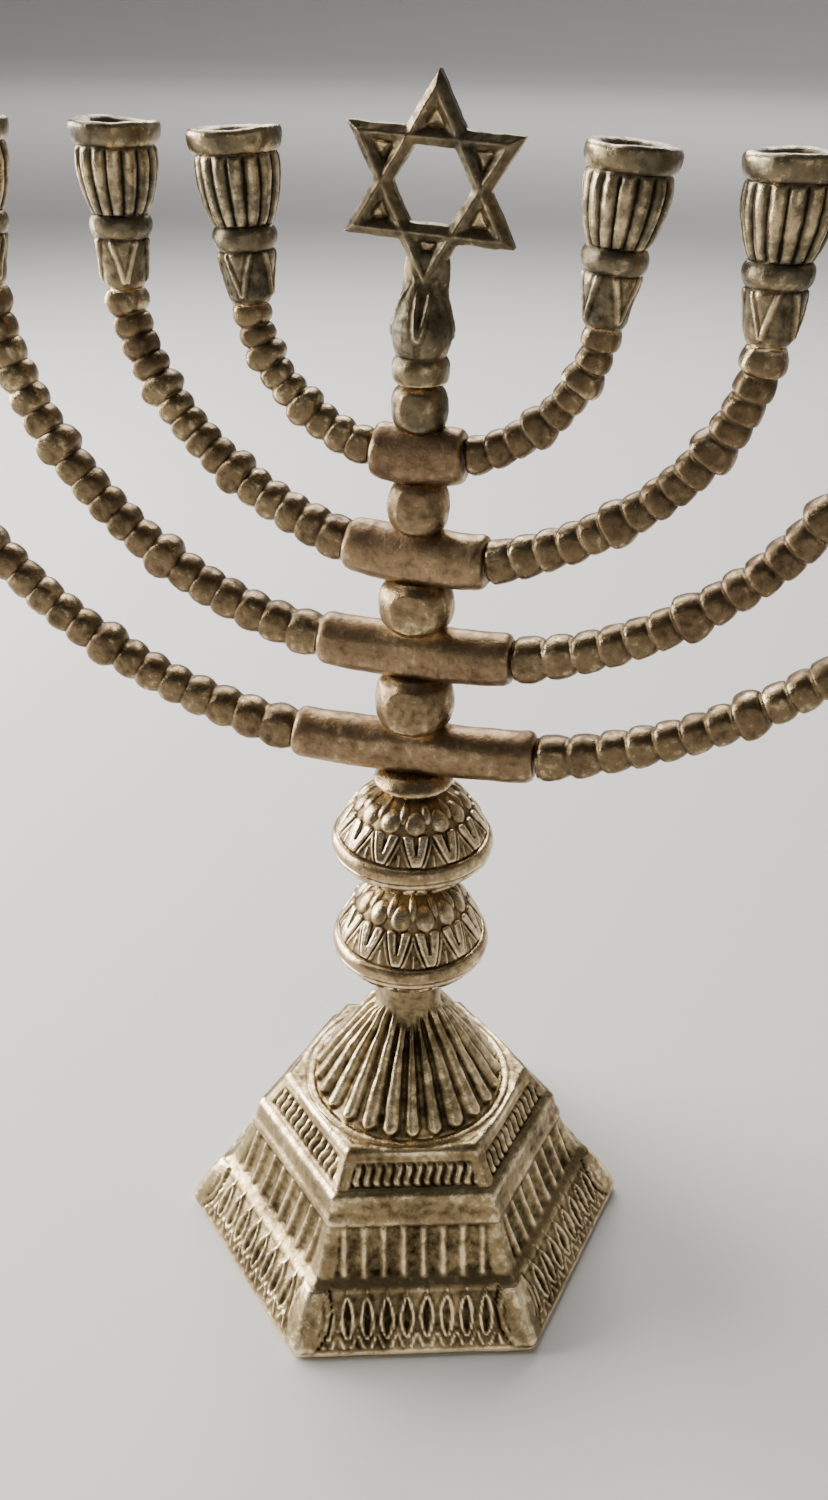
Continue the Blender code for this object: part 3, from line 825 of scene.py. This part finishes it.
def make_first_cup():
    """One cup standing on the origin, heights in millimetres from the end of its neck."""
    well = [(AXIS, 20.9), (AXIS, 20.9), (5.2, 20.9), (5.2, 20.9), (5.7, 30.6), (6.0, 32.0), (6.8, 32.7)]
    lip = [(8.3, 33.0), (8.9, 32.8), (9.1, 32.2), (9.0, 31.0), (8.7, 29.9), (8.2, 29.2),
           (7.6, 28.9), (7.6, 28.9)]
    bell = [(7.9, 27.2), (8.0, 25.0), (7.5, 21.4), (6.4, 17.6), (5.4, 15.4), (5.2, 14.8), (5.2, 14.8)]
    ring = [(5.8, 14.4), (6.3, 13.3), (6.2, 11.8), (5.6, 10.7), (5.2, 10.4), (5.2, 10.4)]
    neck = [(5.4, 9.2), (5.2, 7.2), (4.8, 4.4), (4.5, 1.8), (4.3, 0.7), (3.8, 0.15), (3.2, 0.0), (3.2, 0.0)]
    socket = [(2.3, 0.0), (2.3, 4.6), (AXIS, 4.6)]
    cup = turned("cup_master", flowing(well + lip + bell + ring + neck, 0.4) + socket, 120)
    relief(cup, cup_pattern, 0.95)
    return cup


# degrees: no two cups stand quite upright
CUP_TILT = {("left", 1): -4.0, ("right", 1): 5.5, ("left", 2): 1.0, ("right", 2): 0.5,
            ("left", 3): -1.5, ("right", 3): 1.0, ("left", 4): -1.0, ("right", 4): 1.5}


def make_cups():
    master = make_first_cup()
    for order, (side, index) in enumerate([(s, i) for s in SIDES for i in PAIRS]):
        node_name = "cup_%s_%d" % (side, index)
        cup = twin(master, "candle_cup_%s_%d" % (side, index))
        p = points_of(cup)
        lip = np.clip((p[:, 2] - 27.0) / 6.0, 0.0, 1.0)
        around = np.arctan2(p[:, 1], p[:, 0])
        p[:, 2] += lip * (0.20 * np.cos(2.0 * around + 1.7 * order) + 0.10 * np.cos(3.0 * around + order))
        p[:, :2] *= (1.0 + 0.02 * lip * np.sin(2.0 * around + 0.9 * order))[:, None]
        p = turn_points(turn_points(p, 33.0 * order), CUP_TILT[side, index], "Y")
        p += (CUP_X[index] * (1 if side == "right" else -1), 0, levels_of(node_name)[0])
        move_points(cup, p)
        clamp_at(cup, index)
        cast_unevenness(cup, 0.5, 5.0)
        seat(cup, TOP, node_name, dark_brass, 8, 0.5, 0.6)
    bpy.data.objects.remove(master, do_unlink=True)


# ------------------------------------------------------------------ finial
STAR_R = 20.9
STAR_BAR = 3.4
BAR_EDGE, BAR_CREST = 1.3, 2.8  # mm from the star's middle plane to a bar's edge and to its ridge
WEB = 1.0  # mm: thickness of the closed points
STAR_TILT = 3.0  # degrees: the finial stands a little askew on the rod


def star_frame(turn, z_mid):
    """One triangle of ridged bars, standing in the XZ plane."""
    put_down()
    bpy.ops.mesh.primitive_circle_add(vertices=3, radius=STAR_R * MM, fill_type="NGON",
                                      location=(0, 0, z_mid * MM), rotation=(math.pi / 2, turn, 0))
    frame_piece = bpy.context.object
    settle(frame_piece)
    edit(frame_piece)
    bpy.ops.mesh.inset(thickness=STAR_BAR / 2 * MM, depth=0)
    bpy.ops.mesh.inset(thickness=STAR_BAR / 2 * MM, depth=0)
    bpy.ops.mesh.delete(type="FACE")
    bpy.ops.object.mode_set(mode="OBJECT")
    p = points_of(frame_piece)
    r = np.hypot(p[:, 0], p[:, 2] - z_mid)
    order = np.argsort(r)
    p[:, 1] = -BAR_EDGE
    p[order[3:6], 1] = -BAR_CREST
    move_points(frame_piece, p)
    edit(frame_piece)
    bpy.ops.mesh.select_all(action="DESELECT")
    bpy.ops.mesh.select_mode(type="EDGE")
    bpy.ops.mesh.select_non_manifold(extend=False)
    bpy.ops.mesh.extrude_edges_move(TRANSFORM_OT_translate={"value": (0, BAR_EDGE * MM, 0)})
    put_down()
    apply(frame_piece, "MIRROR", use_axis=(False, True, False), merge_threshold=0.00001)
    clean(frame_piece)
    return frame_piece


def make_vase(low):
    """The finial's ring and leafed vase, flattened towards the star."""
    top = [(AXIS, 271.4), (AXIS, 271.4), (2.8, 271.2), (4.4, 270.2), (4.9, 267.4), (5.0, 263.0)]
    belly = [(5.5, 259.0), (6.1, 255.6), (6.0, 252.8), (5.3, 250.4), (5.3, 250.4)]
    ring = [(5.8, 249.6), (6.2, 248.4), (6.2, 246.6), (5.8, 245.2), (5.4, low), (5.4, low)]
    socket = [(BORE, low), (BORE, low + 7.0), (AXIS, low + 7.0)]
    vase = turned("vase", flowing(top + belly + ring, 0.4) + socket, 96)
    p = points_of(vase)
    p[:, 1] *= 1.0 - 0.56 * np.clip((p[:, 2] - 256.5) / 8.5, 0.0, 1.0) ** 1.2
    move_points(vase, p)

    def leaves(x, y, z):
        across = np.abs(wrap(np.arctan2(y, x) - math.pi / 2 - 0.10, 4))
        spread = 0.30 * np.clip((z - 253.6) / 11.0, 0.0, 1.0)
        vein = ridge(across - spread, 0.11) * inside(z - 253.4, 0.8) * inside(264.5 - z, 2.5)
        between = 0.35 * inside(across - spread - 0.07, 0.05)
        on_vase = (z > 250.6) & (z < 266.0) & (np.hypot(x, y) > 1.6)
        return np.where(on_vase, np.maximum(vein, between), 0.0)

    relief(vase, leaves, 0.8)
    return vase


def make_star(z_mid):
    """Two triangles and the thin webs that close their six points, grown into one casting."""
    pieces = [star_frame(0.0, z_mid), star_frame(math.pi, z_mid)]
    out = 0.62 * STAR_R
    for k in range(6):
        a = math.radians(90.0 + 60.0 * k)
        place = (out * math.cos(a) * MM, 0, (z_mid + out * math.sin(a)) * MM)
        put_down()
        bpy.ops.mesh.primitive_cylinder_add(vertices=3, radius=0.31 * STAR_R * MM, depth=WEB * MM,
                                            location=place, rotation=(math.pi / 2, math.pi / 2 - a, 0))
        web = bpy.context.object
        settle(web)
        pieces.append(web)
    star = combine(pieces, "star")
    apply(star, "REMESH", mode="VOXEL", voxel_size=0.36 * MM)
    apply(star, "SMOOTH", factor=0.5, iterations=2)
    return star


def make_finial():
    low, high = levels_of("star_finial")
    z_mid = high - STAR_R
    finial = combine([make_vase(low), make_star(z_mid)], "star_finial_piece")
    p = points_of(finial)
    leant = turn_points(p, STAR_TILT, "Y", (0, 0, low + 6.0))
    ease = np.clip((p[:, 2:] - low - 4.0) / 14.0, 0.0, 1.0)
    move_points(finial, p + ease * (leant - p))
    cast_unevenness(finial, 0.5, 4.0)
    seat(finial, TOP, "star_finial", dark_brass, 8, 0.7, 0.0)

    # the webs between the bars are cleaner than hollows of their depth
    x, y, z = points_of(finial).T
    depth = values_of(finial, "hollow")
    pocket = (np.abs(y) < 1.2) & (np.hypot(x, z - z_mid) > 10.4) & (z > 264.0) & (depth > 0.52)
    store_values(finial, "hollow", np.where(pocket, 0.25, depth))


# ------------------------------------------------------------------ rod, washer and nut under the foot
THREAD_TURNS = 12
THREAD_PITCH = 0.72
WASHER_BORE = 2.8


def make_rod():
    low, high = levels_of("tie_rod")
    knots = [(AXIS, high), (2.4, high)]
    for k in range(THREAD_TURNS):
        z = low + 9.0 - k * THREAD_PITCH
        knots += [(2.45, z), (2.1, z - THREAD_PITCH / 2)]
    return turned("threaded_rod", knots + [(2.0, low), (AXIS, low)], 32)


def make_washer():
    low, high = levels_of("washer")
    radius = radius_of("washer")
    outline = [(WASHER_BORE, high), (radius - 0.2, high), (radius, high - 0.2), (radius, low + 0.2),
               (radius - 0.2, low), (WASHER_BORE, low), (WASHER_BORE, high)]
    return turned("flat_washer", outline, 64)


def make_nut():
    low, high = levels_of("nut")
    put_down()
    bpy.ops.mesh.primitive_cylinder_add(vertices=6, radius=radius_of("nut") * MM, depth=(high - low) * MM,
                                        location=(0, 0, (low + high) / 2 * MM))
    nut = bpy.context.object
    nut.name = "hex_nut"
    settle(nut)
    apply(nut, "BEVEL", width=0.35 * MM, segments=2)
    return nut


def make_hardware():
    for piece, node_name in ((make_rod(), "tie_rod"), (make_washer(), "washer"), (make_nut(), "nut")):
        seat(piece, TOP, node_name, dull_steel)
        smooth(piece, 35.0)


# ------------------------------------------------------------------ camera, floor and light
def make_stage():
    """A wide pale floor that sweeps up softly, far away from the piece."""
    # radius and height in metres
    sweep = [(8.0, -0.0004), (9.5, 0.06), (11.0, 0.40), (12.3, 1.2), (13.2, 2.6), (13.8, 4.8), (14.0, 8.5)]
    radius, level = sweep[0]
    put_down()
    bpy.ops.mesh.primitive_circle_add(vertices=96, radius=radius, fill_type="NGON", location=(0, 0, level))
    floor = bpy.context.object
    floor.name = "pale_floor"
    settle(floor)
    edit(floor)
    climb(sweep, unit=1.0)
    put_down()
    smooth(floor, 40.0)
    pale = bpy.data.materials.new("pale_floor")
    pale.use_nodes = True
    shader = pale.node_tree.nodes["Principled BSDF"]
    shader.inputs["Base Color"].default_value = (0.70, 0.69, 0.67, 1.0)
    shader.inputs["Roughness"].default_value = 0.8
    floor.data.materials.append(pale)


def soft_light(name, place, target, size, power, colour):
    put_down()
    bpy.ops.object.light_add(type="AREA", location=place)
    lamp = bpy.context.object
    lamp.name = name
    lamp.data.shape = "RECTANGLE"
    lamp.data.size, lamp.data.size_y = size
    lamp.data.energy = power
    lamp.data.color = colour
    lamp.rotation_euler = (Vector(target) - Vector(place)).to_track_quat("-Z", "Y").to_euler()


def make_lights():
    middle = (0, 0, 0.16)
    soft_light("window_left", (-1.15, 0.10, 0.42), middle, (1.0, 0.9), 50.0, (1.0, 0.98, 0.95))
    soft_light("window_back", (-0.35, 1.25, 1.15), middle, (1.3, 0.6), 25.0, (1.0, 0.98, 0.96))
    soft_light("low_front", (0.55, -1.2, 0.35), middle, (0.35, 0.5), 0.8, (1.0, 0.95, 0.90))
    soft_light("backdrop_wash", (0.0, 3.6, 3.2), (0.0, 8.5, 0.0), (5.0, 1.5), 150.0, (1.0, 1.0, 1.0))
    put_down()
    bpy.ops.object.light_add(type="SUN", location=(-2.0, 1.2, 2.4))
    sky = bpy.context.object
    sky.name = "soft_daylight"
    sky.data.energy = 1.3
    sky.data.angle = math.radians(60.0)
    sky.data.color = (1.0, 0.985, 0.96)
    sky.rotation_euler = Vector((0.80, -0.45, -0.95)).to_track_quat("-Z", "Y").to_euler()
    world = bpy.data.worlds.new("soft_room")
    bpy.context.scene.world = world
    world.use_nodes = True
    back = world.node_tree.nodes["Background"]
    back.inputs["Color"].default_value = (0.82, 0.82, 0.83, 1.0)
    back.inputs["Strength"].default_value = 0.13


def make_camera():
    """Stands in front, a little to the right, and looks down at the stem."""
    azimuth, down, roll = math.radians(14.16), math.radians(29.40), math.radians(1.075)
    back = Vector((math.sin(azimuth) * math.cos(down), -math.cos(azimuth) * math.cos(down), math.sin(down)))
    level = (-back).cross(Vector((0, 0, 1))).normalized()
    up = level.cross(-back)
    right = level * math.cos(roll) + up * math.sin(roll)
    over = up * math.cos(roll) - level * math.sin(roll)
    data = bpy.data.cameras.new("camera")
    camera = bpy.data.objects.new("camera", data)
    bpy.context.scene.collection.objects.link(camera)
    place = Vector((68.4, -271.1, 312.4)) * MM
    camera.matrix_world = Matrix.Translation(place) @ Matrix((right, over, back)).transposed().to_4x4()
    data.lens = 31.26
    data.sensor_width = 36.0
    data.clip_start = 0.01
    bpy.context.scene.camera = camera


def build():
    make_camera()
    make_stage()
    make_lights()
    make_foot()
    make_cone()
    make_knop("lotus_knop_lower", "lower_knop", 4.0)
    make_knop("lotus_knop_upper", "upper_knop", 17.0)
    make_collar()
    for index in PAIRS:
        make_sleeve(index)
        make_stem_ball(index)
        make_arms(index)
    make_cups()
    make_finial()
    make_hardware()


build()
put_down()
